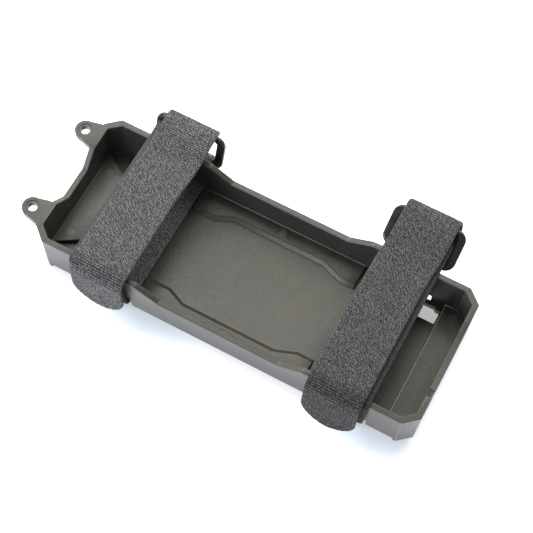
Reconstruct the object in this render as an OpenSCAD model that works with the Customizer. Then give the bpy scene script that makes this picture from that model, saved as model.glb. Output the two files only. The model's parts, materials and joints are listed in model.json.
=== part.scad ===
// Battery tray with two hook-and-loop hold-down straps.
// Frame: X along the tray, Y across it, +Z up. The origin is the centre of the
// tray's underside. Front is -X, where the mounting ears are; rear is +X, the
// plain end. Near is -Y, where the strap tips hang; far is +Y, with the buckles.

/* [Tray] */
// Length of the tray body at the rim, without the ears
body_l = 148.2; // [140:0.2:160]
// Width of the tray body at the rim
body_w = 55.2; // [52:0.2:60]
// Height of the rim above the table
body_h = 20.5; // [19.5:0.1:24]
// Wall thickness
wall = 2.2; // [1.8:0.1:2.4]
// How far each wall leans in from the rim to the underside
draft = 0.5; // [0.2:0.1:0.8]
// Corner chamfer, measured along the tray
corner_x = 5.1; // [3:0.1:7]
// Corner chamfer, measured across the tray
corner_y = 4.5; // [3:0.1:6]
// Radius along the two long bottom edges
bottom_r = 2.2; // [1:0.1:2.4]

/* [Rim dips] */
// Depth of the long dip in each side wall
side_dip = 4.9; // [2:0.1:6]
// Half length of the floor of the side dips
side_dip_half = 23.2; // [15:0.1:24]
// Length of the slope at each end of the side dips
side_dip_run = 9.0; // [4:0.1:9.5]
// Depth of the cable dip in the ear end wall
front_dip = 6.3; // [3:0.1:7]
// Depth of the dip in the plain end wall
rear_dip = 4.0; // [2:0.1:6]

/* [Floor] */
// Height of the strap channels and the sunk centre panel
floor_t = 3.1; // [2.8:0.1:3.3]
// Height of the side ledges and the plain end plate
ledge_h = 4.5; // [4.3:0.1:5]
// How far the sloped edge of each side ledge runs out over the floor
ledge_run = 1.55; // [1:0.05:1.8]
// Height of the wedge-shaped plate at the ear end
front_plate_h = 5.2; // [4.8:0.1:6]
// Width of the floor slot under the rear strap
floor_slot_w = 6.0; // [4:0.1:6.4]

/* [Mounting ears] */
// Diameter of the ear holes, M3 clearance
ear_hole_d = 3.4; // [3.2:0.1:3.6]
// Distance between the two ear holes
ear_pitch = 35.4; // [34:0.1:37]
// Outside diameter of each ear
ear_d = 7.6; // [7:0.1:9]
// Thickness of each ear
ear_t = 2.6; // [2:0.1:4]

/* [Straps] */
// Width of the webbing
strap_w = 20; // [18:0.1:20]
// Thickness of the webbing with its pile
strap_t = 1.9; // [1.6:0.1:1.9]
// Distance from the tray's middle to each pair of wall notches
strap_x = 45.9; // [45.8:0.1:46]
// Width of the wall notches the straps pass through
notch_w = 23; // [23:0.1:23.2]
// Height of the wall notches
notch_h = 6.2; // [5.8:0.1:8]

/* [Buckles] */
// Outside width of each ring buckle
ring_w = 27; // [27:0.1:27.4]
// Outside height of each ring buckle
ring_h = 15.5; // [15:0.1:16]
// Diameter of the round bars of each ring; its flat sides are 0.5 mm wider
ring_d = 2.4; // [2.2:0.1:2.4]
// Thickness of the ring's flat sides
ring_t = 2.0; // [1.6:0.1:2.2]

/* [Hidden] */
$fn = 64;

tray_color = [0.20, 0.20, 0.19];
web_color = [0.30, 0.30, 0.31];
hook_color = [0.16, 0.16, 0.17];
ring_color = [0.07, 0.07, 0.075];
thread_color = [0.12, 0.12, 0.13];

// tray body
half_l = body_l / 2;
half_w = body_w / 2;
corner_shrink = 0.42;             // how much the chamfers shrink per mm of inset
front_dip_half = 6.4;             // half width of the floor of the front dip
front_dip_run = 6.5;              // and of each slope
rear_dip_half = 10.3;
rear_dip_run = 4.7;
ear_x = -half_l - 4.75;           // ear hole centre
ear_y = ear_pitch / 2;
ear_ring_w = 0.85;                // shallow ring round each ear hole
ear_ring_depth = 0.25;
notch_flare_r = 2;                // flare at the foot of each notch side

// floor
skin = 2.2;                       // thickness left over the hollows underneath
front_plate_x = -59;              // inner edges of the end plates
rear_plate_x = 62.9;
ledge_x = -strap_x + notch_w / 2 + 0.1;    // front end of the side ledges
ledge_block_y = 12;               // ledge blocks start here, before their slopes are cut
slot_x = [33.4, 62.2];            // ends of the floor slot
slot_y = 17.1;                    // its edge nearest the tray's middle
slot_step = 0.8;                  // its step at the rear far corner
pin_mark_depth = 0.15;
// one row per pair of ejector pin marks: [x, y, height of the face, radius]
PIN_MARKS = [[-67.5, 13.7, front_plate_h, 1.6],
             [67.3, 21.8, ledge_h, 1.6],
             [-0.6, 22.1, ledge_h, 1.5]];

// course of the webbing
gap = 0.1;                        // between two layers of webbing
turn_y = half_w - 0.15;           // centre of the bend over the near rim, at -turn_y
turn_z = body_h - 0.15;
turn_r = 0.3 + strap_t / 2;       // bend radius of the lower webbing there
run_z = floor_t + 0.1 + strap_t / 2;       // floor run
near_y = turn_y + turn_r;         // near riser, at -near_y
foot_y = half_w + 1.1;            // far riser where it leaves the wall notch
bend_r = 2.4;                     // webbing bend at the foot of each riser
loop_r = ring_d / 2 + 0.15 + strap_t / 2;  // sewn loop round the lower bar
fold_r = ring_d / 2 + 0.6 + strap_t / 2;   // fold round the upper bar
top_run_end = 12;                 // the level top run stops this far short of the fold
climb_start = 8;                  // and the climb to the upper bar starts this far short
cut = 0.03;                       // half the gap between webbing, tail and tip

// sewn end and its stitches, measured down from the lower bar
seam_bottom = 7.2;
seam_top = 4.6;
seam_rows = [6.7, 5.1];
seam_pitch = 2;

// tip and hook tape
tape_t = 0.6;
tape_l = 15.6;
tape_inset = 1;                   // from the edge of the tip
tip_r = turn_r + strap_t + tape_t + gap;   // bend of the tip over the near rim
tip_drop = 19.5;                  // straight part below that bend
tip_end_r = 10.25;                // radius of the rounded tip
tip_z = 1.6;                      // lowest point of the tip
tail_end_y = -turn_y + 1.5;
tape_stitch_inset = 1.6;
tape_stitch_top = 4.4;            // first stitch, below the bend centre
tape_stitch_pitch = 1.9;

// ring buckles
bar_pitch = ring_h - ring_d;      // distance between the bar centres
ring_dx = 0.5;                    // the rings hang a little to one side of the webbing
ring_corner_r = 2.7;
ring_side_w = ring_d + 0.5;
bar_inset = 2;                    // bar ends lie this far inside the ring's width

// one row per strap: [x, lower bar y, lower bar z, ring angle,
//                     fold offset from the upper bar, how far the tip leans out]
FRONT = [-strap_x + 1.2, half_w + 3.4, 12.5, 75, 0.3, 0.3];
REAR = [strap_x + 0.2, half_w + 4.0, 17.2, 31.6, 1.0, 2.0];

function mid_x(strap) = strap[0];
function low_y(strap) = strap[1];
function low_z(strap) = strap[2];
function ring_angle(strap) = strap[3];
function tip_out(strap) = strap[5];
function high_y(strap) = low_y(strap) + bar_pitch * cos(ring_angle(strap));
function high_z(strap) = low_z(strap) + bar_pitch * sin(ring_angle(strap));
function fold_y(strap) = high_y(strap) + strap[4];
function far_y(strap) = low_y(strap) - loop_r;                  // top of the far riser
function seam_y(strap) = far_y(strap) + strap_t + gap;          // sewn end beside it
function split_y(strap) = high_y(strap) - 1.6;                  // where the tail starts
function split_z(strap) = high_z(strap) + fold_r;
function tip_lean(strap) = atan(tip_out(strap) / tip_drop);

// ---- path helpers: every path is a list of [y, z] points ----------------
function arc(cy, cz, r, from, to, steps) =
    [for (i = [0:steps]) let (a = from + (to - from) * i / steps)
        [cy + r * cos(a), cz + r * sin(a)]];
function smooth(u) = u * u * (3 - 2 * u);
function between(p, q, part_y, part_z) =
    [p[0] + (q[0] - p[0]) * part_y, p[1] + (q[1] - p[1]) * part_z];
// smooth step between two points, level (along Y) at both ends
function ease_y(p, q, steps) =
    [for (i = [0:steps]) between(p, q, i / steps, smooth(i / steps))];
// the same, upright (along Z) at both ends
function ease_z(p, q, steps) =
    [for (i = [0:steps]) between(p, q, smooth(i / steps), i / steps)];
function join(lists) = [for (list = lists) for (point = list) point];
function unit(v) = v / norm(v);
// normal at point i, mitred so that the band keeps its thickness
function normal(path, i) =
    let (last = len(path) - 1,
         before = i > 0 ? unit(path[i] - path[i - 1]) : unit(path[1] - path[0]),
         after = i < last ? unit(path[i + 1] - path[i]) : unit(path[last] - path[last - 1]),
         along = unit(before + after),
         stretch = 1 / max(0.5, along * before))
    [-along[1] * stretch, along[0] * stretch];
// outline of a band of thickness t centred on a path
function band(path, t) = concat(
    [for (i = [0:len(path) - 1]) path[i] + normal(path, i) * t / 2],
    [for (i = [len(path) - 1:-1:0]) path[i] - normal(path, i) * t / 2]);

// draws a [y, z] outline and gives it a width along X, centred on x
module across(x, w) {
    translate([x - w / 2, 0, 0])
        rotate([90, 0, 90]) linear_extrude(w) children();
}

// the children as drawn, and mirrored to the other side of the tray
module both_sides() {
    for (side = [0, 1]) mirror([0, side, 0]) children();
}

// ---- tray ---------------------------------------------------------------
// eight-sided outline, moved in from the tray's outer face at the rim
function outline(inset) =
    let (x = half_l - inset,
         y = half_w - inset,
         chamfer_x = x - corner_x + inset * corner_shrink,
         chamfer_y = y - corner_y + inset * corner_shrink)
    [[x, -chamfer_y], [x, chamfer_y], [chamfer_x, y], [-chamfer_x, y],
     [-x, chamfer_y], [-x, -chamfer_y], [-chamfer_x, -y], [chamfer_x, -y]];

// block with that outline at the rim, and walls that lean in below it
module leaning_block(inset, bottom, top) {
    points = outline(inset);
    difference() {
        translate([0, 0, bottom]) linear_extrude(top - bottom) polygon(points);
        for (i = [0:7]) {
            p = points[i];
            edge = points[(i + 1) % 8] - p;
            length = norm(edge);
            translate([p[0], p[1], body_h])
                rotate([0, 0, atan2(edge[1], edge[0])])
                    rotate([atan(draft / body_h), 0, 0])
                        translate([-length, -6, -2 * body_h])
                            cube([3 * length, 6, 4 * body_h]);
        }
    }
}

// far side ledge, closed along outer_y; inset is for the hollow under it
function ledge(inset, outer_y) =
    [[ledge_x + inset, 16.9 + inset], [-25.3 + inset * 0.5, 16.9 + inset],
     [-18.6 + inset * 0.5, 19.8 + inset], [17.5 - inset * 0.5, 19.8 + inset],
     [25.5 - inset * 0.5, 16.8 + inset], [31.5 - inset, 16.8 + inset],
     [31.5 - inset, outer_y], [ledge_x + inset, outer_y]];

// cuts away what stands above a slope that falls from the line p-q at the
// ledge's top, running out by the same amount along Y everywhere
module ledge_slope(p, q) {
    angle = atan2(q[1] - p[1], q[0] - p[0]);
    translate([p[0], p[1], ledge_h]) rotate([0, 0, angle])
        rotate([atan2(ledge_h - floor_t, ledge_run * cos(angle)), 0, 0])
            translate([-60, -30, 0]) cube([160, 30, 30]);
}

// block from x, with slopes along the ledge edges that start at the given points
module ledge_part(x, length, outer_y, edges) {
    points = ledge(0, half_w);
    bottom = floor_t - 0.7;
    difference() {
        translate([x, ledge_block_y, bottom])
            cube([length, outer_y - ledge_block_y, ledge_h - bottom]);
        for (i = edges) ledge_slope(points[i], points[i + 1]);
    }
}

// solid ledge: a narrow full-length part and a wider part at each end
module ledge_block() {
    rear_x = ledge(0, half_w)[5][0];
    end_y = half_w - 0.2;
    ledge_part(ledge_x, rear_x - ledge_x, half_w, [2]);
    ledge_part(ledge_x, 22, end_y, [0, 1]);
    ledge_part(rear_x - 19, 19, end_y, [3, 4]);
}

// wedge-shaped plate at the front end
module front_plate() {
    inner_x = -half_l + wall;
    translate([0, 0, floor_t - 1]) linear_extrude(front_plate_h - floor_t + 1)
        polygon([[-half_l, -21.4], [inner_x, -20.7], [front_plate_x, -12.9],
                 [front_plate_x, 12.9], [inner_x, 20.7], [-half_l, 21.4]]);
}

module rear_plate() {
    translate([rear_plate_x, -half_w, floor_t - 1])
        cube([half_l - rear_plate_x, 2 * half_w, ledge_h - floor_t + 1]);
}

// the space inside the walls, down to the strap channels
module bay() {
    difference() {
        leaning_block(wall, floor_t, body_h + 1);
        both_sides() ledge_block();
        front_plate();
        rear_plate();
    }
}

module ear() {
    root_x = -half_l + 0.9;
    translate([0, 0, body_h - ear_t]) linear_extrude(ear_t) {
        translate([ear_x, ear_y]) circle(d = ear_d);
        polygon([[ear_x, ear_y + ear_d / 2], [root_x, ear_y + 5.2],
                 [root_x, ear_y - 5.3], [ear_x, ear_y - ear_d / 2]]);
    }
}

// hole with a shallow ring round its top
module ear_hole() {
    translate([ear_x, ear_y, body_h - ear_t - 1]) cylinder(d = ear_hole_d, h = ear_t + 2);
    translate([ear_x, ear_y, body_h - ear_ring_depth])
        cylinder(d = ear_hole_d + 2 * ear_ring_w, h = 1);
}

module dip_outline(half, run, depth) {
    polygon([[-half - run, body_h], [-half, body_h - depth],
             [half, body_h - depth], [half + run, body_h],
             [half + run, body_h + 2], [-half - run, body_h + 2]]);
}

module rim_dips() {
    rotate([90, 0, 0]) translate([0, 0, -half_w - 1]) linear_extrude(2 * half_w + 2)
        dip_outline(side_dip_half, side_dip_run, side_dip);
    across(-half_l, 8) dip_outline(front_dip_half, front_dip_run, front_dip);
    across(half_l, 8) dip_outline(rear_dip_half, rear_dip_run, rear_dip);
}

// rounds a long bottom edge, up to just short of the corner chamfers
module bottom_edge() {
    round_y = half_w - draft - bottom_r;
    across(0, body_l - 2 * corner_x - 2.6) difference() {
        translate([round_y, -1]) square([bottom_r + 2, bottom_r + 1]);
        translate([round_y, bottom_r]) circle(r = bottom_r);
    }
}

// wall notch at x, open at the bottom, with flared lower corners
module strap_notch(x) {
    translate([x - notch_w / 2, half_w - draft - wall - 0.3, -1])
        cube([notch_w, 6, notch_h + 1]);
    for (end = [0, 1]) translate([x, half_w + 3, 0]) mirror([end, 0, 0]) rotate([90, 0, 0])
        translate([notch_w / 2 - 0.01, 0, 0]) linear_extrude(wall + draft + 3.2)
            difference() {
                translate([0, -1]) square([notch_flare_r, notch_flare_r + 1]);
                translate([notch_flare_r, notch_flare_r]) circle(r = notch_flare_r);
            }
}

// slot through the floor under the rear strap, on the far side only
module floor_slot() {
    far = slot_y + floor_slot_w;
    translate([0, 0, -1]) linear_extrude(floor_t + 2)
        polygon([[slot_x[0], slot_y], [slot_x[1], slot_y], [slot_x[1], far - slot_step],
                 [60.5, far - slot_step], [59.7, far], [slot_x[0], far]]);
}

// hollows under the raised parts of the floor
module hollows() {
    front_x = -half_l + wall + 0.4;
    front_inner_x = front_plate_x - skin;
    rear_inner_x = rear_plate_x + skin;
    both_sides() translate([0, 0, -1]) linear_extrude(ledge_h - skin + 1)
        polygon(ledge(skin, half_w - draft - wall - 0.4));
    translate([0, 0, -1]) linear_extrude(front_plate_h - skin + 1)
        polygon([[front_x, -17.4], [front_inner_x, -11.6],
                 [front_inner_x, 11.6], [front_x, 17.4]]);
    translate([rear_inner_x, -22, -1])
        cube([half_l - wall - 0.9 - rear_inner_x, 44, ledge_h - skin + 1]);
}

module pin_marks() {
    for (mark = PIN_MARKS)
        translate([mark[0], mark[1], mark[2] - pin_mark_depth]) cylinder(r = mark[3], h = 1);
}

module tray() {
    color(tray_color) difference() {
        union() {
            difference() {
                leaning_block(0, 0, body_h);
                bay();
            }
            both_sides() ear();
        }
        rim_dips();
        both_sides() {
            ear_hole();
            bottom_edge();
            for (x = [-strap_x, strap_x]) strap_notch(x);
            pin_marks();
        }
        floor_slot();
        hollows();
    }
}

// ---- straps -------------------------------------------------------------
// In the paths, small offsets leave short straight steps between the pieces.
// Lower webbing: sewn loop, far riser, floor run, near riser, top run, fold.
function web_path(strap) = join([
    [[seam_y(strap), low_z(strap) - seam_bottom], [seam_y(strap), low_z(strap) - seam_top]],
    ease_z([seam_y(strap), low_z(strap) - seam_top + 0.2],
           [low_y(strap) + loop_r, low_z(strap) - 0.2], 6),
    arc(low_y(strap), low_z(strap), loop_r, 0, 180, 16),
    ease_z([far_y(strap), low_z(strap) - 0.5], [foot_y, run_z + bend_r + 0.2], 6),
    arc(foot_y - bend_r, run_z + bend_r, bend_r, 0, -90, 8),
    arc(-(near_y - bend_r), run_z + bend_r, bend_r, -90, -180, 8),
    arc(-turn_y, turn_z, turn_r, 180, 90, 8),
    [[fold_y(strap) - top_run_end, turn_z + turn_r]],
    ease_y([fold_y(strap) - climb_start, turn_z + turn_r],
           [fold_y(strap) - 0.3, high_z(strap) - fold_r], 6),
    arc(fold_y(strap), high_z(strap), fold_r, -90, 90, 16),
    [[split_y(strap) + cut, split_z(strap)]]]);
// tail: from the fold back to the near rim, on top of the lower webbing
function tail_path(strap) = join([
    [[split_y(strap) - cut, split_z(strap)]],
    ease_y([split_y(strap) - 1.5, split_z(strap)],
           [split_y(strap) - 15, turn_z + turn_r + strap_t + 0.35], 8),
    [[tail_end_y + cut, turn_z + tip_r]]]);
// tip: over the near rim and down outside the wall
function tip_path(strap) = let (lean = tip_lean(strap)) join([
    [[tail_end_y - cut, turn_z + tip_r]],
    arc(-turn_y, turn_z, tip_r, 90, 180 - lean, 10),
    [[-turn_y - tip_r * cos(lean) - tip_out(strap),
      turn_z + tip_r * sin(lean) - tip_drop]]]);

module strap_band(strap, path) {
    across(mid_x(strap), strap_w) polygon(band(path, strap_t));
}
module webbing(strap) {
    color(web_color) strap_band(strap, web_path(strap));
}
module tail(strap) {
    color(web_color) strap_band(strap, tail_path(strap));
}

// rounded tongue, seen along Y, with its edge moved in by inset
module tip_shape(strap, inset) {
    left = mid_x(strap) - strap_w / 2 + inset;
    width = strap_w - 2 * inset;
    rotate([90, 0, 0]) linear_extrude(200, center = true) {
        translate([left, tip_z + tip_end_r]) square([width, 40]);
        intersection() {
            translate([mid_x(strap), tip_z + tip_end_r]) circle(r = tip_end_r - inset);
            translate([left, tip_z - 1]) square([width, tip_end_r + 2]);
        }
    }
}
module tip(strap) {
    color(web_color) intersection() {
        strap_band(strap, tip_path(strap));
        tip_shape(strap, 0);
    }
}

// places its children at the centre of the near rim bend, leaning with the tip
module at_tip(strap) {
    translate([mid_x(strap), -turn_y, turn_z]) rotate([-tip_lean(strap), 0, 0]) children();
}
// hook tape sewn to the inside of the tip
module hook_tape(strap) {
    color(hook_color) intersection() {
        at_tip(strap)
            translate([-strap_w / 2 + tape_inset, -tip_r + strap_t / 2 + 0.02, -17.2])
                cube([strap_w - 2 * tape_inset, tape_t, tape_l]);
        tip_shape(strap, tape_inset);
    }
}

module stitch() {
    cylinder(d = 0.4, h = 1.3, center = true, $fn = 16);
}
// two upright rows of stitches on the tip's outer face, which hold the hook tape
module tape_stitching(strap) {
    color(thread_color) at_tip(strap)
        for (side = [-1, 1], k = [0:4])
            translate([side * (strap_w / 2 - tape_stitch_inset),
                       -tip_r - strap_t / 2 - 0.1,
                       -tape_stitch_top - k * tape_stitch_pitch])
                stitch();
}
// two level rows of stitches that close the sewn loop under the lower bar
module loop_stitching(strap) {
    color(thread_color) for (drop = seam_rows, k = [-4:4])
        translate([mid_x(strap) + k * seam_pitch,
                   seam_y(strap) + strap_t / 2 + 0.1,
                   low_z(strap) - drop])
            rotate([0, 90, 0]) stitch();
}

// ring outline with rounded corners; the lower bar's centre is at y = 0
module ring_outline() {
    half = ring_w / 2;
    bottom = -ring_d / 2;
    top = bar_pitch + ring_d / 2;
    r = ring_corner_r;
    for (x = [-half + r, half - r], y = [bottom + r, top - r])
        translate([x, y]) circle(r = r);
    translate([-half, bottom + r]) square([ring_w, top - bottom - 2 * r]);
    translate([-half + r, bottom]) square([ring_w - 2 * r, top - bottom]);
}
// built flat in its own X-Y plane with the lower bar on the X axis:
// round bars where the webbing turns, and flat sides
module ring_buckle(strap) {
    color(ring_color) translate([mid_x(strap) + ring_dx, low_y(strap), low_z(strap)])
        rotate([ring_angle(strap), 0, 0]) {
            for (y = [0, bar_pitch]) translate([-ring_w / 2 + bar_inset, y, 0])
                rotate([0, 90, 0]) cylinder(d = ring_d, h = ring_w - 2 * bar_inset);
            translate([0, 0, -ring_t / 2]) linear_extrude(ring_t) difference() {
                ring_outline();
                square([ring_w - 2 * ring_side_w, 3 * ring_h], center = true);
            }
        }
}

module front_strap_webbing() webbing(FRONT);
module front_loop_stitching() loop_stitching(FRONT);
module front_ring_buckle() ring_buckle(FRONT);
module front_strap_tail() tail(FRONT);
module front_strap_tip() tip(FRONT);
module front_hook_tape() hook_tape(FRONT);
module front_tape_stitching() tape_stitching(FRONT);
module rear_strap_webbing() webbing(REAR);
module rear_loop_stitching() loop_stitching(REAR);
module rear_ring_buckle() ring_buckle(REAR);
module rear_strap_tail() tail(REAR);
module rear_strap_tip() tip(REAR);
module rear_hook_tape() hook_tape(REAR);
module rear_tape_stitching() tape_stitching(REAR);

tray();
front_strap_webbing();
front_loop_stitching();
front_ring_buckle();
front_strap_tail();
front_strap_tip();
front_hook_tape();
front_tape_stitching();
rear_strap_webbing();
rear_loop_stitching();
rear_ring_buckle();
rear_strap_tail();
rear_strap_tip();
rear_hook_tape();
rear_tape_stitching();
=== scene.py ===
import json
import math
from types import SimpleNamespace

import bpy
import bmesh
import numpy as np
from mathutils import Matrix, Vector


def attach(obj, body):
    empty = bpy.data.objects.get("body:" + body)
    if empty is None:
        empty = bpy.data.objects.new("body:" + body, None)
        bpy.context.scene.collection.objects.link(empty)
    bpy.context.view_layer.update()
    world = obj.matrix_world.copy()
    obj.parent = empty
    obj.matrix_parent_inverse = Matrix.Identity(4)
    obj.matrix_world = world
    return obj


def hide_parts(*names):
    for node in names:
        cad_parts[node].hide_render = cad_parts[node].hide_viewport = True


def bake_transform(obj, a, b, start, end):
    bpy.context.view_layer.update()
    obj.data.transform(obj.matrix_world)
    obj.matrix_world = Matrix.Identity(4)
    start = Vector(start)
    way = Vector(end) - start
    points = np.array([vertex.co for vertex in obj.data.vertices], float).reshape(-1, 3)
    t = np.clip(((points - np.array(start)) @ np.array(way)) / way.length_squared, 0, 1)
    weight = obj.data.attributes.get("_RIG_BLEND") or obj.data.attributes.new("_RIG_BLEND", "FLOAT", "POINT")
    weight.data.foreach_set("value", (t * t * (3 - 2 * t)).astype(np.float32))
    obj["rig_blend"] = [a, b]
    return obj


# Battery tray with two hook-and-loop straps and two ring buckles.
# The tray is long in X and stands on z = 0. The straps cross it in Y: the front strap towards -X,
# the rear one towards +X. The near side is -Y, where both strap tips hang outside the wall.
# Shapes are worked out in millimetres and scaled by MM when a mesh is made.
# Materials, lights and the camera are in metres.

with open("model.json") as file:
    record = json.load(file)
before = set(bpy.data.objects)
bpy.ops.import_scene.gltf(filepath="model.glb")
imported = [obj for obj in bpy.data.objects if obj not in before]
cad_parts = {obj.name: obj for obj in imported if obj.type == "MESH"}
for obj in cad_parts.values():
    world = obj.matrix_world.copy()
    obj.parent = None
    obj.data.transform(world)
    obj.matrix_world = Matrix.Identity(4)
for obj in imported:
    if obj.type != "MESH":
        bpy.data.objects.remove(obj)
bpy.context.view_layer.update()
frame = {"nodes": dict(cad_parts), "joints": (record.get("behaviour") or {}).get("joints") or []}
MM = 0.001
JOINTS = {joint["name"]: joint for joint in frame["joints"]}
scene = bpy.context.scene


# ---------------------------------------------------------------- shader helpers
class Shader:
    """A material's node tree. Wherever a value is asked for, an output socket can be given."""

    def __init__(self, name):
        self.material = bpy.data.materials.new(name)
        self.material.use_nodes = True
        self.tree = self.material.node_tree
        self.surface = self.tree.nodes["Principled BSDF"]

    def feed(self, node, inputs):
        for key, value in inputs.items():
            socket = node.inputs[key]
            if isinstance(value, bpy.types.NodeSocket):
                self.tree.links.new(value, socket)
            elif socket.type == "RGBA":
                socket.default_value = (*value, 1.0)
            else:
                socket.default_value = value

    def node(self, kind, inputs=None, **settings):
        node = self.tree.nodes.new("ShaderNode" + kind)
        for key, value in settings.items():
            setattr(node, key, value)
        self.feed(node, inputs or {})
        return node

    def finish(self, inputs):
        self.feed(self.surface, inputs)
        return self.material

    def object_place(self):
        return self.node("TexCoord").outputs["Object"]

    def attribute(self, name, output="Fac"):
        return self.node("Attribute", attribute_name=name).outputs[output]

    def noise(self, place, scale, detail, roughness=0.5, distortion=0.0):
        inputs = {"Vector": place, "Scale": scale, "Detail": detail,
                  "Roughness": roughness, "Distortion": distortion}
        return self.node("TexNoise", inputs).outputs["Fac"]

    def stretch(self, place, scale):
        return self.node("Mapping", {"Vector": place, "Scale": scale}).outputs["Vector"]

    def ramp(self, factor, *stops):
        """Colour ramp; each stop is (position, (red, green, blue))."""
        node = self.node("ValToRGB", {"Fac": factor})
        elements = node.color_ramp.elements
        while len(elements) > 1:
            elements.remove(elements[-1])
        elements[0].position = stops[0][0]
        elements[0].color = (*stops[0][1], 1)
        for position, colour in stops[1:]:
            elements.new(position).color = (*colour, 1)
        return node.outputs["Color"]

    def maths(self, operation, *values):
        return self.node("Math", dict(enumerate(values)), operation=operation).outputs[0]

    def map_range(self, value, to, source=(0.0, 1.0)):
        inputs = {"Value": value, "From Min": source[0], "From Max": source[1],
                  "To Min": to[0], "To Max": to[1]}
        return self.node("MapRange", inputs).outputs["Result"]

    def mix(self, factor, first, second, blend="MIX"):
        inputs = {"Factor": factor, "A": first, "B": second}
        return self.node("Mix", inputs, data_type="RGBA", blend_type=blend).outputs["Result"]

    def bump(self, height, strength, distance, normal=None):
        inputs = {"Strength": strength, "Distance": distance, "Height": height}
        if normal is not None:
            inputs["Normal"] = normal
        return self.node("Bump", inputs).outputs["Normal"]


# ---------------------------------------------------------------- materials
def tray_material():
    """Spark-eroded moulded nylon: warm charcoal, fine matte grain, satin and lighter on the marked edges
    (the rim's corners, and painted highlights at the wall feet and the step).
    """
    sh = Shader("tray_plastic")
    place = sh.object_place()
    grain = sh.noise(place, scale=2300.0, detail=3.0, roughness=0.7)
    pits = sh.node("TexVoronoi", {"Vector": place, "Scale": 1500.0}, feature="F1")
    blotch = sh.noise(place, scale=95.0, detail=4.0, roughness=0.6, distortion=0.4)
    wide = sh.noise(place, scale=22.0, detail=2.0)

    # colour: warm base, slow variation, tiny lighter grains
    base = sh.ramp(blotch, (0.32, (0.052, 0.0475, 0.027)), (0.66, (0.067, 0.0615, 0.036)))
    speck = sh.ramp(grain, (0.36, (0.62, 0.62, 0.62)), (0.50, (1.0, 1.0, 1.0)),
                    (0.64, (1.5, 1.5, 1.5)))
    # painted light: steep faces are tinted greyer and bluer than the level ones, for the cool light they
    # catch
    normal = sh.node("NewGeometry").outputs["True Normal"]
    normal_z = sh.node("SeparateXYZ", {"Vector": normal}).outputs["Z"]
    painted_wall_tint = sh.ramp(sh.maths("ABSOLUTE", normal_z),
                    (0.10, (0.96, 1.02, 1.50)), (0.60, (1.0, 1.0, 1.0)))
    wall_tinted = sh.mix(1.0, base, painted_wall_tint, blend="MULTIPLY")
    colour = sh.mix(1.0, wall_tinted, speck, blend="MULTIPLY")

    # lighter marked edges (rim corners; painted highlights at the wall feet and the step), round pin marks
    # and a second painted highlight on the step, all marked on the mesh
    edge = sh.attribute("edge_wear_and_highlight")
    wear_and_highlight_noise = sh.noise(place, scale=620.0, detail=3.0)
    colour = sh.mix(sh.maths("MULTIPLY", edge, wear_and_highlight_noise), colour, (0.20, 0.20, 0.19))
    lathe = sh.noise(place, scale=900.0, detail=2.0)
    for mark, least, tint in (("pin_mark", 0.4, (0.13, 0.125, 0.095)),
                              ("painted_step_highlight", 0.35, (0.85, 0.82, 0.64))):
        amount = sh.maths("MULTIPLY", sh.attribute(mark), sh.maths("ADD", lathe, least))
        colour = sh.mix(amount, colour, tint)

    # roughness: wide drift, grain and mottle, smoother on the marked edges
    drift = sh.map_range(wide, to=(0.30, 0.36), source=(0.25, 0.75))
    mottle = sh.noise(place, scale=700.0, detail=4.0, roughness=0.7)
    mottle = sh.maths("ADD", sh.maths("MULTIPLY", mottle, 0.16), -0.08)
    roughness = sh.maths("ADD", drift, sh.maths("MULTIPLY", grain, 0.10))
    roughness = sh.maths("ADD", roughness, mottle)
    roughness = sh.maths("ADD", roughness, sh.maths("MULTIPLY", edge, -0.12))

    relief = sh.bump(grain, strength=0.45, distance=0.00006)
    relief = sh.bump(pits.outputs["Distance"], strength=0.22, distance=0.00008, normal=relief)
    relief = sh.bump(blotch, strength=0.05, distance=0.0002, normal=relief)
    return sh.finish({"Base Color": colour, "Roughness": roughness,
                      "Specular IOR Level": 0.62, "Normal": relief})


def webbing_material():
    """Looped pile on woven webbing, with painted shade in the gaps between loops and painted light on their
    crowns. pile and tone come from the mesh; cloth_uv runs along it.
    """
    sh = Shader("webbing")
    cloth = sh.attribute("cloth_uv", output="Vector")
    pile = sh.attribute("pile")
    tone = sh.attribute("tone")
    fibre = sh.noise(sh.stretch(cloth, (5.0, 2.6, 2.6)), scale=1.0, detail=4.0, roughness=0.7)
    slow = sh.noise(cloth, scale=0.22, detail=2.0)
    fuzz = sh.maths("ADD", sh.maths("MULTIPLY", fibre, 0.55), -0.275)
    colour = sh.ramp(sh.maths("ADD", pile, fuzz),
                     (0.06, (0.028, 0.0275, 0.027)),    # painted shade in the gaps between loops
                     (0.45, (0.142, 0.138, 0.134)),
                     (0.98, (0.47, 0.455, 0.44)))       # painted light on the crowns of the loops
    drift = sh.map_range(slow, to=(0.95, 1.05), source=(0.3, 0.7))
    level = sh.maths("MULTIPLY", drift, tone)
    shade = sh.node("CombineColor", {0: level, 1: level, 2: level}).outputs["Color"]
    return sh.finish({"Base Color": sh.mix(1.0, colour, shade, blend="MULTIPLY"),
                      "Roughness": 0.82, "Sheen Weight": 0.0, "Sheen Roughness": 0.45,
                      "Specular IOR Level": 0.15,
                      "Normal": sh.bump(fibre, strength=0.6, distance=0.00012)})


def thread_material():
    """Dark sewing thread with fine fibres."""
    sh = Shader("thread")
    fibre = sh.noise(sh.object_place(), scale=9000.0, detail=3.0)
    colour = sh.ramp(fibre, (0.3, (0.035, 0.035, 0.037)), (0.7, (0.11, 0.11, 0.115)))
    return sh.finish({"Base Color": colour, "Roughness": 0.6, "Sheen Weight": 0.2,
                      "Normal": sh.bump(fibre, strength=0.5, distance=0.00005)})


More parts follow.
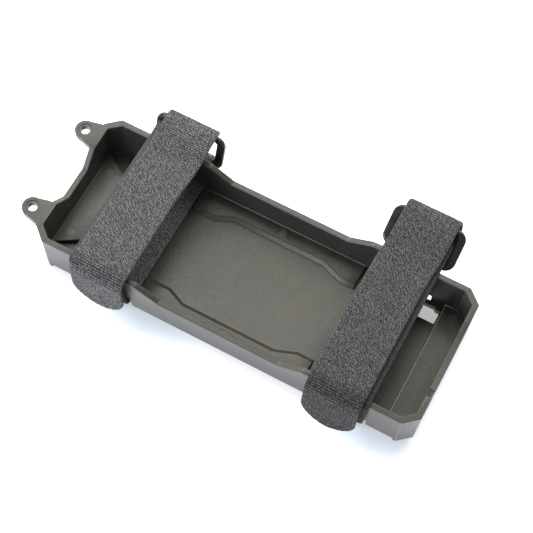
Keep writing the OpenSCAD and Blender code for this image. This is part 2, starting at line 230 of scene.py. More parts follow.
def hook_material():
    """Near-black moulded hook tape."""
    sh = Shader("hook_tape")
    grain = sh.noise(sh.object_place(), scale=2600.0, detail=3.0)
    colour = sh.ramp(grain, (0.3, (0.020, 0.020, 0.022)), (0.7, (0.055, 0.055, 0.058)))
    return sh.finish({"Base Color": colour, "Roughness": sh.map_range(grain, to=(0.35, 0.6)),
                      "Normal": sh.bump(grain, strength=0.3, distance=0.00006)})


def ring_material():
    """Black moulded acetal: satin gloss with fine rubbing marks, drawn out along X."""
    sh = Shader("ring_plastic")
    place = sh.object_place()
    fine = sh.noise(place, scale=3600.0, detail=3.0)
    scuff = sh.noise(sh.stretch(place, (0.35, 1.0, 1.0)), scale=260.0, detail=5.0, roughness=0.7)
    colour = sh.ramp(scuff, (0.35, (0.018, 0.018, 0.019)), (0.65, (0.027, 0.027, 0.028)),
                     (0.80, (0.045, 0.045, 0.046)))
    roughness = sh.map_range(scuff, to=(0.20, 0.36), source=(0.3, 0.75))
    return sh.finish({"Base Color": colour, "Roughness": roughness, "Specular IOR Level": 0.75,
                      "Normal": sh.bump(fine, strength=0.12, distance=0.00004)})


MAT_TRAY = tray_material()
MAT_WEBBING = webbing_material()
MAT_THREAD = thread_material()
MAT_HOOK = hook_material()
MAT_RING = ring_material()


# ---------------------------------------------------------------- mesh helpers
def new_object(name, mesh, material=None, smooth=True):
    obj = bpy.data.objects.new(name, mesh)
    scene.collection.objects.link(obj)
    if material is not None:
        mesh.materials.append(material)
    if smooth:
        mesh.polygons.foreach_set("use_smooth", [True] * len(mesh.polygons))
    return obj


def close_bmesh(bm, mesh):
    """Turns the faces outward and moves them into mesh."""
    bmesh.ops.recalc_face_normals(bm, faces=bm.faces)
    bm.to_mesh(mesh)
    bm.free()
    return mesh


def loft(bm, rings):
    """Closed skin over a row of vertex rings, capped at both ends."""
    count = len(rings[0])
    for ring, following in zip(rings, rings[1:]):
        for k in range(count):
            after = (k + 1) % count
            bm.faces.new([ring[k], ring[after], following[after], following[k]])
    bm.faces.new(rings[0][::-1])
    bm.faces.new(rings[-1])


def metres(x, y, z):
    return (x * MM, y * MM, z * MM)


def joint_place(name):
    return [value / MM for value in JOINTS[name]["pos_m"]]


# ---------------------------------------------------------------- tray
# Two rounds of bevels: long corners first, then the smaller ones that have room.
# room is the shortest edge allowed at either end; face_areas (m2) are the least areas
# of the smaller and the larger face beside the edge.
ROUNDINGS = (
    dict(room=0.74, length=0.6, face_areas=None, radius=0.30, segments=3),
    dict(room=0.30, length=2.0, face_areas=(1.5e-6, 4e-6), radius=0.09, segments=2),
)
STEP_HIGHLIGHT = 1.6
# x, distance from the centre line in y, radius
PIN_MARKS = ((-67.5, 13.7, 1.55), (67.3, 21.8, 1.55), (-0.6, 22.1, 1.45))


def wants_rounding(edge, room, length, face_areas):
    if len(edge.link_faces) != 2 or edge.calc_face_angle(0.0) <= math.radians(24):
        return False
    shortest = min(min(k.calc_length() for k in v.link_edges) for v in edge.verts) / MM
    if shortest < room or edge.calc_length() / MM <= length:
        return False
    if face_areas is None:
        return True
    areas = [face.calc_area() for face in edge.link_faces]
    return min(areas) > face_areas[0] and max(areas) > face_areas[1]


def wear_and_highlight_at(x, y, z):
    """How much a rounded corner is lightened, by its place; below the rim this is a painted highlight."""
    if z > 9.0:                                                     # rim corners
        return 0.55
    if abs(x - 62.9) < 0.4 and z > 4.2:                             # painted highlight on the step near the +X end
        return STEP_HIGHLIGHT
    if x < -71.0 and 5.0 < z < 6.0:                                 # painted highlight on the wall foot at the -X end
        return 1.1
    if abs(y) > 24.3 and 4.3 < z < 5.2 and abs(x) < 36:             # painted highlight low along both long sides, at the wall feet
        return 0.6
    return 0.0


def round_corners(bm):
    edge_lightening = bm.verts.layers.float["edge_wear_and_highlight"]
    step_highlight = bm.verts.layers.float["painted_step_highlight"]
    for rule in ROUNDINGS:
        edges = [e for e in bm.edges
                 if wants_rounding(e, rule["room"], rule["length"], rule["face_areas"])]
        result = bmesh.ops.bevel(bm, geom=edges, offset=rule["radius"] * MM,
                                 offset_type="OFFSET", segments=rule["segments"], profile=0.5,
                                 affect="EDGES", clamp_overlap=False)
        bm.normal_update()
        rounded = set(face for face in result["faces"] if face.is_valid)
        for face in rounded:
            amount = wear_and_highlight_at(*(face.calc_center_median() / MM))
            if not amount:
                continue
            for v in face.verts:
                if all(other in rounded for other in v.link_faces):
                    v[edge_lightening] = amount
                    # the step's corner also gets a painted highlight with its own bright tint
                    v[step_highlight] = 1.0 if amount == STEP_HIGHLIGHT else 0.0


def mark_pins(bm):
    """Marks the small round faces that look up at the pin places."""
    pin = bm.verts.layers.float["pin_mark"]
    for face in bm.faces:
        centre = face.calc_center_median() / MM
        if face.normal.z <= 0.9 or centre.z <= 3.5:
            continue
        for x, y, radius in PIN_MARKS:
            if math.hypot(centre.x - x, abs(centre.y) - y) >= 0.4:
                continue
            reach = max(math.hypot(v.co.x / MM - x, abs(v.co.y / MM) - y) for v in face.verts)
            if reach < radius + 0.12:
                for v in face.verts:
                    v[pin] = 1.0


def build_tray():
    """The CAD moulding with real radii on the rim and small fillets at the wall feet."""
    mesh = frame["nodes"]["tray"].data.copy()
    mesh.name = "tray_moulding"
    obj = new_object("tray_moulding", mesh)
    bm = bmesh.new()
    bm.from_mesh(mesh)
    bmesh.ops.remove_doubles(bm, verts=bm.verts, dist=3e-6)
    bmesh.ops.dissolve_limit(bm, angle_limit=math.radians(0.6), verts=bm.verts, edges=bm.edges)
    # layers for the lighter edges and painted highlights, and for the pin marks
    for name in ("edge_wear_and_highlight", "pin_mark", "painted_step_highlight"):
        bm.verts.layers.float.new(name)
    round_corners(bm)
    bm.normal_update()
    mark_pins(bm)
    for face in bm.faces:
        face.smooth = True
    for edge in bm.edges:
        paired = len(edge.link_faces) == 2
        edge.smooth = paired and edge.calc_face_angle(0.0) < math.radians(16)
    bmesh.ops.triangulate(bm, faces=[face for face in bm.faces if len(face.verts) > 4])
    bm.to_mesh(mesh)
    bm.free()
    mesh.materials.clear()
    mesh.materials.append(MAT_TRAY)
    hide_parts("tray")
    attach(obj, "tray_and_webbing")


# ---------------------------------------------------------------- strap sizes
TRAY_TOP, TRAY_HALF_Y = 20.5, 27.6
STRAP_T, STRAP_W = 1.9, 20.0
GAP = 0.1                                   # between layers that touch
TAPE_T = 0.6
BAR_R = 1.2                                 # ring buckle bars

# Centres and radii of the strap's centre line
TURN_Y, TURN_Z = TRAY_HALF_Y - 0.15, TRAY_TOP - 0.15    # turn over the near rim
TURN_R = 0.3 + STRAP_T / 2
TIP_R = TURN_R + STRAP_T + TAPE_T + GAP     # the tip's turn, outside the webbing's
RUN_BASE = 3.1                              # what the floor run lies on
RUN_Z = RUN_BASE + GAP + STRAP_T / 2
NEAR_Y = TURN_Y + TURN_R
BEND_R = 2.4                                # at both ends of the floor run
FOOT_Y = TRAY_HALF_Y + 1.1
LOOP_R = BAR_R + 0.15 + STRAP_T / 2         # sewn loop round the lower bar
FOLD_R = BAR_R + 0.6 + STRAP_T / 2          # fold round the upper bar
TOP_Z = TURN_Z + TURN_R                     # webbing across the top

TIP_DROP = 19.5                             # the tip's path below the rim turn
TIP_LOW_Z = 1.6                             # lowest point of the rounded tongue
TONGUE_R = 10.25
TAPE_INSET = 1
TAIL_END_Y = -21.0                          # where the tail ends and the tip begins


def make_strap(side, **values):
    """A strap's places, from its joints, with the values that differ between the straps."""
    lower_x, lower_y, lower_z = joint_place(side + "_buckle_swing")
    peel_x, split_y, peel_z = joint_place(side + "_tail_peel")
    split_z = peel_z - STRAP_T / 2
    return SimpleNamespace(
        side=side, x=peel_x, lower_x=lower_x, lower_y=lower_y, lower_z=lower_z,
        split_y=split_y, split_z=split_z, bar_y=split_y + 1.6, bar_z=split_z - FOLD_R,
        riser_y=lower_y - LOOP_R, **values)


# fold_shift, fold_reach: the fold's move and depth in +Y; lean: how far the tip swings out at
# its foot; *_x: the strap's centre in the floor run, the top run, the fold and the tail;
# tone: brightness; tip_tone: brightness at the tip under its painted shade; ring_*: slope in degrees, half
# width and side bar width.
STRAPS = (
    make_strap("front", fold_shift=0.0, fold_reach=1.95, lean=0.3,
               run_x=-44.8, top_x=-47.0, fold_x=-43.7, tail_x=-45.0,
               tone=1.0, tip_tone=0.78, web_seed=11, tail_seed=21,
               ring_slope=75.0, ring_half_x=13.9, ring_side=3.3),
    make_strap("rear", fold_shift=0.8, fold_reach=2.3, lean=2.0,
               run_x=46.0, top_x=47.2, fold_x=46.3, tail_x=45.3,
               tone=0.76, tip_tone=0.60, web_seed=12, tail_seed=22,
               ring_slope=31.6, ring_half_x=13.8, ring_side=3.4),
)


# ---------------------------------------------------------------- strap paths, as (y, z) points
def smooth01(x):
    x = np.clip(x, 0, 1)
    return x * x * (3 - 2 * x)


def arc(y, z, radius, start, end, steps=48):
    angle = np.radians(np.linspace(start, end, steps + 1))
    return np.stack([y + radius * np.cos(angle), z + radius * np.sin(angle)], 1)


def ease(start, end, along, steps=40):
    """S-curve that leaves and arrives parallel to the axis named by along."""
    even = np.linspace(0, 1, steps + 1)
    soft = smooth01(even)
    share = np.stack([even, soft] if along == "y" else [soft, even], 1)
    start, end = np.array(start, float), np.array(end, float)
    return start + (end - start) * share


def straight(start, end, steps=20):
    share = np.linspace(0, 1, steps + 1)[:, None]
    return np.array(start, float) * (1 - share) + np.array(end, float) * share


def webbing_path(strap):
    """Sewn loop, riser, floor run, near riser, top run and the fold round the upper bar."""
    end_y = strap.riser_y + STRAP_T + GAP       # sewn end, on the +Y face of the riser
    loop_y, loop_z = strap.lower_y, strap.lower_z
    fold_y = strap.bar_y + strap.fold_shift
    fold = arc(0, strap.bar_z, FOLD_R, -90, 90) * (strap.fold_reach / FOLD_R, 1)
    return np.concatenate([
        straight((end_y, loop_z - 7.2), (end_y, loop_z - 4.6)),
        ease((end_y, loop_z - 4.4), (loop_y + LOOP_R, loop_z - 0.2), "z"),
        arc(loop_y, loop_z, LOOP_R, 0, 180),
        ease((strap.riser_y, loop_z - 0.5), (FOOT_Y, RUN_Z + BEND_R + 0.2), "z"),
        arc(FOOT_Y - BEND_R, RUN_Z + BEND_R, BEND_R, 0, -90),
        arc(-(NEAR_Y - BEND_R), RUN_Z + BEND_R, BEND_R, -90, -180),
        arc(-TURN_Y, TURN_Z, TURN_R, 180, 90),
        straight((fold_y - 12.2, TOP_Z), (fold_y - 12, TOP_Z), 2),
        ease((fold_y - 8, TOP_Z), (fold_y - 0.3, strap.bar_z - FOLD_R), "y"),
        fold + (fold_y, 0),
        np.array([[strap.split_y, strap.split_z]]),
    ])


def top_path(strap):
    """Tail and tip: from the fold, over the top run and the near rim, down outside the wall."""
    lean = math.atan(strap.lean / TIP_DROP)
    end = (-TURN_Y - TIP_R * math.cos(lean) - strap.lean,
           TURN_Z + TIP_R * math.sin(lean) - TIP_DROP)
    split_y, split_z = strap.split_y, strap.split_z
    return np.concatenate([
        np.array([[split_y, split_z]]),
        ease((split_y - 1.5, split_z), (split_y - 15, TOP_Z + STRAP_T + 0.35), "y"),
        straight((-20.0, 24.16), (-TURN_Y + 1.5, TURN_Z + TIP_R), 6),
        arc(-TURN_Y, TURN_Z, TIP_R, 90, 180 - math.degrees(lean)),
        np.array([end]),
    ])


def lengths_along(path):
    return np.linalg.norm(np.diff(path, axis=0), axis=1)


def resample(path, step):
    """Even stations along the path, and the distance of each from its start."""
    path = path[np.concatenate([[True], lengths_along(path) > 1e-6])]
    run = np.concatenate([[0], np.cumsum(lengths_along(path))])
    count = max(2, int(round(run[-1] / step)))
    along = np.linspace(0, run[-1], count + 1)
    even = np.stack([np.interp(along, run, path[:, 0]), np.interp(along, run, path[:, 1])], 1)
    # a light smoothing, so that arcs and straights join without a crease
    for _ in range(3):
        even[1:-1] = 0.25 * even[:-2] + 0.5 * even[1:-1] + 0.25 * even[2:]
    return even, along


def pile_normals(path):
    """Unit normals on the path's pile side, which is to the right of its direction."""
    tangent = np.gradient(path, axis=0)
    tangent /= np.linalg.norm(tangent, axis=1)[:, None]
    return np.stack([tangent[:, 1], -tangent[:, 0]], 1)


# ---------------------------------------------------------------- cloth relief
def value_noise(u, v, seed):
    """Smooth lattice noise in 0..1 on arrays."""
    size = 256
    grid = np.random.default_rng(seed).random((size, size))
    iu, iv = np.floor(u).astype(int), np.floor(v).astype(int)
    fu, fv = smooth01(u - iu), smooth01(v - iv)

    def row(j):
        return grid[iu % size, j % size] * (1 - fu) + grid[(iu + 1) % size, j % size] * fu
    return row(iv) * (1 - fv) + row(iv + 1) * fv


def pile_height(along, x, seed):
    """Looped pile seen face on, 0 in the gaps and 1 on a loop's crown.
    The loops stand in rows across the strap, each a short stroke laid over to the same side."""
    row_pitch, loop_pitch = 0.74, 0.53
    half_length, half_width = 0.44, 0.225       # of one loop
    lay = np.radians(38.0)
    size = 400
    jitter = np.random.default_rng(seed).random((5, size, size))
    row = np.floor(along / row_pitch)
    ri = row.astype(int) % size
    shift = (row % 2) * 0.5 + jitter[4][ri, 0] * 0.25
    column = np.floor(x / loop_pitch + shift)
    ci = column.astype(int) % size
    from_row = (along / row_pitch - row - 0.5 - (jitter[0][ri, ci] - 0.5) * 0.30) * row_pitch
    from_loop = (x / loop_pitch + shift - column - 0.5
                 - (jitter[1][ri, ci] - 0.5) * 0.35) * loop_pitch
    angle = lay + (jitter[2][ri, ci] - 0.5) * 0.7
    cos, sin = np.cos(angle), np.sin(angle)
    lengthwise = from_row * cos + from_loop * sin
    sideways = -from_row * sin + from_loop * cos
    distance = np.sqrt((lengthwise / half_length) ** 2 + (sideways / half_width) ** 2)
    crown = np.clip(1.15 - distance, 0, 1) ** 0.8
    strength = 0.62 + 0.50 * jitter[3][ri, ci]
    fuzz = value_noise(along * 3.3, x * 3.3, seed + 5)
    return np.clip(crown * strength * 0.95 + (fuzz - 0.5) * 0.24 + 0.04, 0, 1)


def weave_height(along, x):
    """Plain woven ground, for the strap's back."""
    return 0.5 + 0.25 * (np.sin(along * 2 * math.pi / 0.9) * np.sign(np.sin(x * 2 * math.pi / 1.3))
                         + 0.6 * np.cos(x * 2 * math.pi / 0.65))


# ---------------------------------------------------------------- strap mesh
def end_cap(row, steps):
    """Faces that close one end of a band: quads from face to back, then both selvedges."""
    face = row[:steps + 1]
    back = row[steps + 4:2 * steps + 5][::-1]
    quads = [[face[i], face[i + 1], back[i + 1], back[i]] for i in range(steps)]
    return quads + [[face[steps], *row[steps + 1:steps + 4], back[steps]],
                    [back[0], *row[2 * steps + 5:], face[0]]]


def point_attribute(mesh, name, kind, field, values):
    attribute = mesh.attributes.new(name, kind, "POINT")
    attribute.data.foreach_set(field, values.astype(np.float32).ravel())


def ribbon(name, path, along, pile_along, centre_x, half_width, step_x, seed, tone):
    """Closed band along the path. All but name, step_x and seed are given at each station;
    pile_along places the pile's loops."""
    steps = max(8, int(round(STRAP_W / step_x)))
    across = np.linspace(-1, 1, steps + 1)

    # section: face, +X selvedge, back, -X selvedge
    side = np.concatenate([across, [1.0] * 3, across[::-1], [-1.0] * 3])
    count = len(side)
    is_face = np.zeros(count, bool)
    is_back = np.zeros(count, bool)
    is_face[:steps + 1] = True
    is_back[steps + 4:2 * steps + 5] = True
    plus, minus = slice(steps + 1, steps + 4), slice(2 * steps + 5, None)
    through = np.where(is_face, 1.0, -1.0)      # 1 on the face, -1 on the back
    through[plus] = [0.6, 0.0, -0.6]
    through[minus] = [-0.6, 0.0, 0.6]
    bulge = np.zeros(count)
    bulge[plus] = [0.07, 0.10, 0.07]
    bulge[minus] = [-0.07, -0.10, -0.07]

    run = along[:, None] * np.ones(count)[None]
    x = half_width[:, None] * side + bulge * np.minimum(1, half_width / 2)[:, None]
    from_edge = half_width[:, None] - np.abs(x)
    # thinner towards the selvedge, where there is no pile
    body = smooth01((from_edge + 0.1) / 1.1)
    half_t = (STRAP_T / 2) * np.where(through > 0, 0.80 + 0.16 * body, 0.40 + 0.22 * body)
    pile = pile_height(pile_along[:, None] + 0 * run, x + 40.0, seed)
    pile_relief = (pile * smooth01(from_edge / 0.3) - 0.35) * 0.272
    weave_relief = (weave_height(run, x) - 0.5) * 0.05
    relief = np.where(is_face, pile_relief, np.where(is_back, weave_relief, 0))
    offset = through * half_t + np.sign(through) * relief

    normal = pile_normals(path)
    y = path[:, 0][:, None] + normal[:, 0][:, None] * offset
    z = path[:, 1][:, None] + normal[:, 1][:, None] * offset
    points = np.stack([centre_x[:, None] + x, y, z], 2).reshape(-1, 3) * MM
    index = np.arange(run.size).reshape(run.shape)
    here, there = index[:-1], index[1:]
    quads = np.stack([here, np.roll(here, -1, 1), np.roll(there, -1, 1), there], 2)
    faces = quads.reshape(-1, 4).tolist()
    faces += [cap[::-1] for cap in end_cap(index[0].tolist(), steps)]
    faces += end_cap(index[-1].tolist(), steps)
    mesh = bpy.data.meshes.new(name)
    mesh.from_pydata(points.tolist(), [], faces)
    mesh.update()

    covered = smooth01((from_edge + 0.05) / 0.2)
    # colour of the pile: painted shade in the gaps and painted light on the crowns, a darker tone on the
    # back
    painted_pile_shade = np.where(is_face, pile * covered + 0.52 * (1 - covered),
                     np.where(is_back, 0.10 + 0.5 * pile, 0.30))
    point_attribute(mesh, "pile", "FLOAT", "value", painted_pile_shade)
    point_attribute(mesh, "tone", "FLOAT", "value", np.broadcast_to(tone[:, None], run.shape))
    cloth = np.stack([run, x, np.broadcast_to(through, run.shape)], 2)
    point_attribute(mesh, "cloth_uv", "FLOAT_VECTOR", "vector", cloth)
    return new_object(name, mesh, MAT_WEBBING)


def build_webbing(strap):
    """Lower webbing; returns its length."""
    path, along = resample(webbing_path(strap), 0.32)
    y = path[:, 0]
    length = along[-1]
    fold_length = math.pi * FOLD_R
    # the strap wanders a little in its notches
    at_near = along[int(np.argmin(y))]
    to_top = smooth01((along - at_near + 9) / 18)
    in_loop = 1 - smooth01((along - 24) / 8)
    to_fold = smooth01((along - (length - fold_length - 2.0)) / (fold_length - 0.5))
    centre_x = (strap.run_x + (strap.top_x - strap.run_x) * to_top
                + (strap.x + 0.2 - strap.run_x) * in_loop
                + (strap.fold_x - strap.top_x) * to_fold)
    # painted shade: the riser behind the tip is darkened, as it sees little light
    tone = strap.tone * 1.18 * (1 - 0.52 * smooth01((-y - 27.0) / 1.5))
    web = ribbon(strap.side + "_webbing", path, along, along, centre_x,
                 np.full(len(path), STRAP_W / 2), 0.33, strap.web_seed, tone)
    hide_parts(strap.side + "_strap_webbing")
    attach(web, "tray_and_webbing")
    return length


def build_tail_and_tip(strap, webbing_length):
    """Tail and tip share one path, cut where the tip starts to turn."""
    side = strap.side
    path, along = resample(top_path(strap), 0.21)
    y, z = path[:, 0], path[:, 1]
    cut = int(np.argmax(y < TAIL_END_Y))
    centre_x = strap.fold_x + (strap.tail_x - strap.fold_x) * smooth01((along - 2.0) / 26.0)

    # the tip ends in a round tongue
    past_turn = np.arange(len(path)) > int(np.argmin(np.abs(y + TURN_Y)))
    height = z - TIP_LOW_Z
    chord = np.sqrt(np.clip(TONGUE_R ** 2 - (TONGUE_R - height) ** 2, 0, None))
    half_width = np.where(past_turn & (height < TONGUE_R),
                          np.minimum(STRAP_W / 2, chord), STRAP_W / 2)
    half_width = np.maximum(half_width, 0.25)
    last = int(np.argmax(past_turn & (height < 0.02)))

    # painted shade: darker over the rim and down the tip
    tone = strap.tone * (1 - (1 - strap.tip_tone) * smooth01((-y - 24.5) / 4.0))
    # below the rim the loops are pulled out into longer strokes
    pile_step = np.diff(along, prepend=along[0]) * (1 - 0.42 * smooth01((-y - 30.2) / 1.2))
    pile_along = webbing_length + np.cumsum(pile_step)
    along = along + webbing_length

    def part(name, stations):
        return ribbon(name, path[stations], along[stations], pile_along[stations],
                      centre_x[stations], half_width[stations], 0.22, strap.tail_seed,
                      tone[stations])

    tail = part(side + "_tail", slice(0, cut + 1))
    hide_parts(side + "_strap_tail")
    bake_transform(tail, "tray_and_webbing", side + "_tail",
             start=metres(strap.x, strap.split_y, strap.split_z),
             end=metres(strap.x, strap.split_y - 5.0, strap.split_z))
    tip = part(side + "_tip", slice(cut, last + 1))
    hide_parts(side + "_strap_tip")
    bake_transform(tip, side + "_tail", side + "_tip",
             start=metres(strap.x, -22.0, 24.2), end=metres(strap.x, -28.6, 24.2))


# ---------------------------------------------------------------- stitches
def add_stitch(bm, centre, axis, up, length, radius):
    """One sewn stitch: two plied strands that dive into the cloth at both ends. In metres."""
    turns, steps, corners = 2.0, 14, 8
    axis, up = axis.normalized(), up.normalized()
    sideways = axis.cross(up).normalized()

    def around(angle):
        return sideways * math.cos(angle) + up * math.sin(angle)

    for phase in (0.0, math.pi):
        rings = []
        for i in range(steps + 1):
            u = i / steps
            bow = math.sin(math.pi * u) ** 0.55
            middle = centre + axis * ((u - 0.5) * length) + up * (-radius * 1.6 * (1 - bow))
            middle = middle + around(phase + turns * 2 * math.pi * u) * radius * 0.42
            rings.append([bm.verts.new(middle + around(2 * math.pi * k / corners) * radius * 0.62)
                          for k in range(corners)])
        loft(bm, rings)


def tip_frame(strap):
    """Centre of the rim turn, and the tip's downward and outward directions."""
    lean = math.atan(strap.lean / TIP_DROP)
    down = Vector((0, -math.sin(lean), -math.cos(lean)))
    out = Vector((0, -math.cos(lean), math.sin(lean)))
    return Vector((strap.x, -TURN_Y, TURN_Z)), down, out


def build_loop_stitches(strap):
    """Two rows of stitches across the sewn end of the loop."""
    y = strap.riser_y + 1.5 * STRAP_T + GAP + 0.02
    pitch = 2
    bm = bmesh.new()
    for below in (6.7, 5.1):
        for k in range(9):
            centre = Vector((strap.x + (k - 4) * pitch, y, strap.lower_z - below)) * MM
            add_stitch(bm, centre, axis=Vector((1, 0, 0)), up=Vector((0, 1, 0)),
                       length=1.45 * MM, radius=0.2 * MM)
    name = strap.side + "_loop_thread"
    obj = new_object(name, close_bmesh(bm, bpy.data.meshes.new(name)), MAT_THREAD)
    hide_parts(strap.side + "_loop_stitching")
    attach(obj, "tray_and_webbing")


def build_tape_stitches(strap):
    """A column of stitches down each edge of the tip."""
    turn, down, out = tip_frame(strap)
    first, pitch, inset = 4.4, 1.9, 1.6
    bm = bmesh.new()
    for sign in (-1, 1):
        for k in range(5):
            centre = (turn + Vector((sign * (STRAP_W / 2 - inset), 0, 0))
                      + out * (TIP_R + STRAP_T / 2 - 0.02) + down * (first + k * pitch))
            add_stitch(bm, centre * MM, axis=down, up=out, length=1.35 * MM, radius=0.17 * MM)
    name = strap.side + "_tape_thread"
    obj = new_object(name, close_bmesh(bm, bpy.data.meshes.new(name)), MAT_THREAD)
    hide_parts(strap.side + "_tape_stitching")
    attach(obj, strap.side + "_tip")


# ---------------------------------------------------------------- hook tape
HOOK_PITCH = 0.84
HOOK_FIRST_X, HOOK_FIRST_DOWN = -8.4, 2.2
# centre line of one hook: reach sideways, depth from the tape's outer face
HOOK_LINE = ((0.0, 0.22), (0.0, 0.36), (0.05, 0.47), (0.14, 0.53), (0.23, 0.49), (0.26, 0.40))
SQUARE = ((-1, -1), (1, -1), (1, 1), (-1, 1))


def build_hook_tape(strap):
    """Moulded hook tape: a thin backing with rows of small bent hooks, inside the tip."""
    turn, down, out = tip_frame(strap)
    outer = TIP_R - STRAP_T / 2 - 0.02      # outer face of the tape, against the webbing
    bm = bmesh.new()

    def vertex(x, drop, depth):
        place = turn + Vector((x, 0, 0)) + out * (outer - depth) + down * drop
        return bm.verts.new(place * MM)

    def tape_half_width(drop):
        height = (turn + down * drop + out * outer).z - TIP_LOW_Z
        half = STRAP_W / 2 - TAPE_INSET
        if height < TONGUE_R:
            square = (TONGUE_R - TAPE_INSET) ** 2 - (TONGUE_R - height) ** 2
            half = min(half, math.sqrt(max(0.04, square)))
        return half

    # backing, rounded to the tongue
    rows = []
    steps = 40
    for i in range(steps + 1):
        drop = 1.6 + 15.6 * i / steps
        half = tape_half_width(drop)
        section = ((-half, 0.04), (-half * 0.5, 0.0), (half * 0.5, 0.0), (half, 0.04),
                   (half, 0.24), (half * 0.5, 0.26), (-half * 0.5, 0.26), (-half, 0.24))
        rows.append([vertex(x, drop, depth) for x, depth in section])
    loft(bm, rows)

    # hooks, staggered row by row and bent up and down by turns
    for i in range(18):
        drop = HOOK_FIRST_DOWN + i * HOOK_PITCH
        half = tape_half_width(drop)
        for k in range(21):
            x = HOOK_FIRST_X + k * HOOK_PITCH + (0.2 if i % 2 else -0.2)
            if abs(x) > half - 0.4:
                continue
            bend = 1 if k % 2 else -1
            rings = []
            for j, (reach, depth) in enumerate(HOOK_LINE):
                size = 0.085 - 0.008 * j
                rings.append([vertex(x + size * sx * 0.8, drop + bend * reach + size * sd, depth)
                              for sx, sd in SQUARE])
            loft(bm, rings)
    name = strap.side + "_hooks"
    mesh = close_bmesh(bm, bpy.data.meshes.new(name))
    obj = new_object(name, mesh, MAT_HOOK, smooth=False)
    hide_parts(strap.side + "_hook_tape")
    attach(obj, strap.side + "_tip")


# ---------------------------------------------------------------- ring buckles
BAR_SPACING = 13.1
BAR_D = 2 * BAR_R
SIDE_T = 2.0
RING_CORNER_R = 4.3                         # outer


def ring_centre_line(half_x, radius):
    """Stations round the ring: x, y, outward angle, and 0 on the sides to 1 on the bars."""
    inner_x, inner_y = half_x - radius, BAR_SPACING - radius
    # start, end, steps, kind, then the centre of the corner that follows
    runs = (
        ((half_x, radius), (half_x, inner_y), 24, 0.0, (inner_x, inner_y)),
        ((inner_x, BAR_SPACING), (-inner_x, BAR_SPACING), 40, 1.0, (-inner_x, inner_y)),
        ((-half_x, inner_y), (-half_x, radius), 24, 0.0, (-inner_x, radius)),
        ((-inner_x, 0.0), (inner_x, 0.0), 40, 1.0, (inner_x, radius)),
    )
    corner_steps = 14
    stations = []
    for quarter, (start, end, steps, kind, centre) in enumerate(runs):
        for i in range(steps):
            u = i / steps
            stations.append((start[0] + (end[0] - start[0]) * u,
                             start[1] + (end[1] - start[1]) * u, quarter * math.pi / 2, kind))
        for i in range(corner_steps):
            u = i / corner_steps
            angle = math.radians(90 * quarter + 90 * u)
            stations.append((centre[0] + radius * math.cos(angle),
                             centre[1] + radius * math.sin(angle), angle,
                             kind + (1 - 2 * kind) * smooth01(u)))
    return stations


def build_buckle(strap):
    """One swept section: round on the bars, flat with eased edges along the sides."""
    side_w = strap.ring_side
    stations = ring_centre_line(strap.ring_half_x - side_w / 2, RING_CORNER_R - side_w / 2)
    slope = math.radians(strap.ring_slope)
    cos_slope, sin_slope = math.cos(slope), math.sin(slope)
    corners = 28
    points = []
    for x, y, outward, kind in stations:
        half_w = (side_w * (1 - kind) + BAR_D * kind) / 2
        half_t = (SIDE_T * (1 - kind) + BAR_D * kind) / 2
        power = 2 / (3.6 * (1 - kind) + 2.0 * kind)
        for j in range(corners):
            angle = 2 * math.pi * (j + 0.5) / corners
            cos, sin = math.cos(angle), math.sin(angle)
            out = half_w * math.copysign(abs(cos) ** power, cos)
            rise = half_t * math.copysign(abs(sin) ** power, sin)
            flat_x, flat_y = x + out * math.cos(outward), y + out * math.sin(outward)
            points.append(metres(strap.lower_x + flat_x,
                                 strap.lower_y + flat_y * cos_slope - rise * sin_slope,
                                 strap.lower_z + flat_y * sin_slope + rise * cos_slope))
    faces = []
    for i in range(len(stations)):
        here, there = i * corners, (i + 1) % len(stations) * corners
        for j in range(corners):
            after = (j + 1) % corners
            faces.append((here + j, there + j, there + after, here + after))
    name = strap.side + "_ring"
    mesh = bpy.data.meshes.new(name)
    mesh.from_pydata(points, [], faces)
    mesh.update()
    bm = bmesh.new()
    bm.from_mesh(mesh)
    obj = new_object(name, close_bmesh(bm, mesh), MAT_RING)
    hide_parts(strap.side + "_ring_buckle")
    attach(obj, strap.side + "_buckle")


build_tray()
for strap in STRAPS:
    build_tail_and_tip(strap, webbing_length=build_webbing(strap))
for strap in STRAPS:
    build_loop_stitches(strap)
    build_tape_stitches(strap)
    build_hook_tape(strap)
    build_buckle(strap)


# ---------------------------------------------------------------- floor
FLOOR_HALF, FLOOR_Z = 3, -0.0004
# axis, middle and half size of the patch of painted shade under the tray
PAINTED_SHADE_PATCH = (("X", 0.0, 0.070), ("Y", -0.001, 0.0235))
# x, y of two soft shadows, and their radius in y
SHADOWS = ((-0.0285, -0.031), (0.0625, -0.0315))
SHADOW_R = 0.016


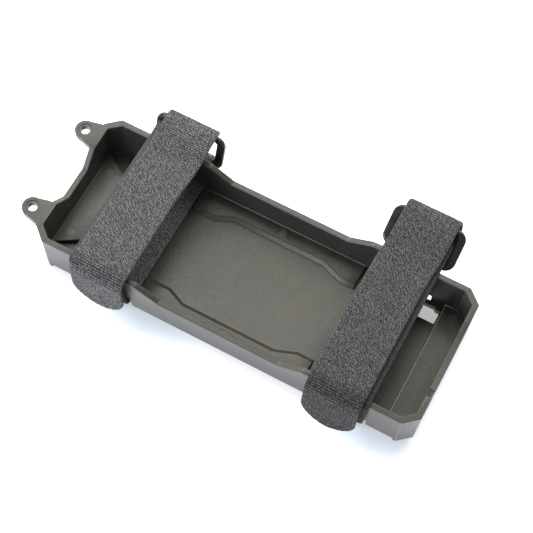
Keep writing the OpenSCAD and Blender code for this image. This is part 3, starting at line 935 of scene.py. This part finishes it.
def floor_material():
    """Pale floor, lit from below like a light table, with painted shade under and close around the part."""
    sh = Shader("pale_floor")
    place = sh.object_place()
    cloud = sh.noise(place, scale=6.0, detail=2.0)
    colour = sh.ramp(cloud, (0.3, (0.93, 0.935, 0.94)), (0.7, (0.95, 0.95, 0.95)))
    axes = sh.node("SeparateXYZ", {"Vector": place}).outputs

    def length(a, b):
        squares = sh.maths("ADD", sh.maths("MULTIPLY", a, a), sh.maths("MULTIPLY", b, b))
        return sh.maths("SQRT", squares)

    outside = []
    for axis, middle, half in PAINTED_SHADE_PATCH:
        off = sh.maths("ABSOLUTE", sh.maths("SUBTRACT", axes[axis], middle))
        outside.append(sh.maths("MAXIMUM", sh.maths("SUBTRACT", off, half), 0.0))
    # the floor's glow, with painted shade under the tray that fades out over about 40 mm around it
    glow_and_painted_shade = sh.ramp(sh.maths("MULTIPLY", length(*outside), 25.0),
                   (0.0, (0.28, 0.28, 0.275)), (0.10, (0.42, 0.42, 0.45)),
                   (0.28, (0.83, 0.82, 0.88)), (1.0, (0.98, 0.955, 1.0)))

    # each shadow is drawn out along X
    distances = [length(sh.maths("MULTIPLY", sh.maths("SUBTRACT", axes["X"], x), 0.7),
                        sh.maths("SUBTRACT", axes["Y"], y)) for x, y in SHADOWS]
    shadow = sh.ramp(sh.maths("MULTIPLY", sh.maths("MINIMUM", *distances), 1 / SHADOW_R),
                     (0.0, (0.46, 0.53, 0.56)), (0.45, (0.60, 0.66, 0.68)), (1.0, (1.0, 1.0, 1.0)))
    # only the camera sees the shadows, so they don't change the light on the part
    seen = sh.node("LightPath").outputs["Is Camera Ray"]
    return sh.finish({"Base Color": colour, "Roughness": 0.7, "Specular IOR Level": 0.2,
                      "Emission Color": sh.mix(seen, glow_and_painted_shade, shadow, blend="MULTIPLY"),
                      "Emission Strength": 1.48})


def build_floor():
    mesh = bpy.data.meshes.new("floor")
    corners = [(x * FLOOR_HALF, y * FLOOR_HALF, FLOOR_Z) for x, y in SQUARE]
    mesh.from_pydata(corners, [], [(0, 1, 2, 3)])
    new_object("floor", mesh, floor_material(), smooth=False)


# ---------------------------------------------------------------- light and camera
def build_world():
    world = bpy.data.worlds.new("studio")
    scene.world = world
    world.use_nodes = True
    background = world.node_tree.nodes["Background"]
    background.inputs["Color"].default_value = (0.84, 0.88, 1.0, 1)
    background.inputs["Strength"].default_value = 0.23


def softbox(name, location, size, power, colour=(1, 1, 1)):
    """Rectangular area light aimed at the origin."""
    light = bpy.data.lights.new(name, "AREA")
    light.shape = "RECTANGLE"
    light.size, light.size_y = size
    light.energy = power
    light.color = colour
    obj = bpy.data.objects.new(name, light)
    scene.collection.objects.link(obj)
    obj.location = location
    obj.rotation_mode = "QUATERNION"
    obj.rotation_quaternion = (-Vector(location)).to_track_quat("-Z", "Y")


def build_camera():
    data = bpy.data.cameras.new("camera")
    camera = bpy.data.objects.new("camera", data)
    scene.collection.objects.link(camera)
    right = Vector((0.8817, 0.4714, 0.0211))
    up = Vector((-0.4357, 0.7962, 0.4199))
    forward = Vector((-0.1812, 0.3794, -0.9073))
    turn = Matrix((right, up, -forward)).transposed().to_4x4()
    camera.matrix_world = Matrix.Translation(Vector((0.0886, -0.17665, 0.4457))) @ turn
    data.sensor_width = 36.0
    data.lens = 92.24
    data.clip_start = 0.01
    scene.camera = camera


build_floor()
build_world()
softbox("key", location=(-0.24, 0.36, 0.85), size=(0.31, 0.5), power=1.58,
        colour=(1.0, 0.995, 0.99))
softbox("top", location=(-0.72, 0.36, 0.66), size=(0.6, 0.6), power=4.5)
softbox("back", location=(0.05, 0.70, 0.80), size=(0.9, 0.4), power=5.5)
softbox("window", location=(-0.36, -0.74, 0.44), size=(0.6, 0.3), power=4.3,
        colour=(0.80, 0.87, 1.0))
build_camera()
scene.view_settings.view_transform = "Standard"
scene.view_settings.look = "None"
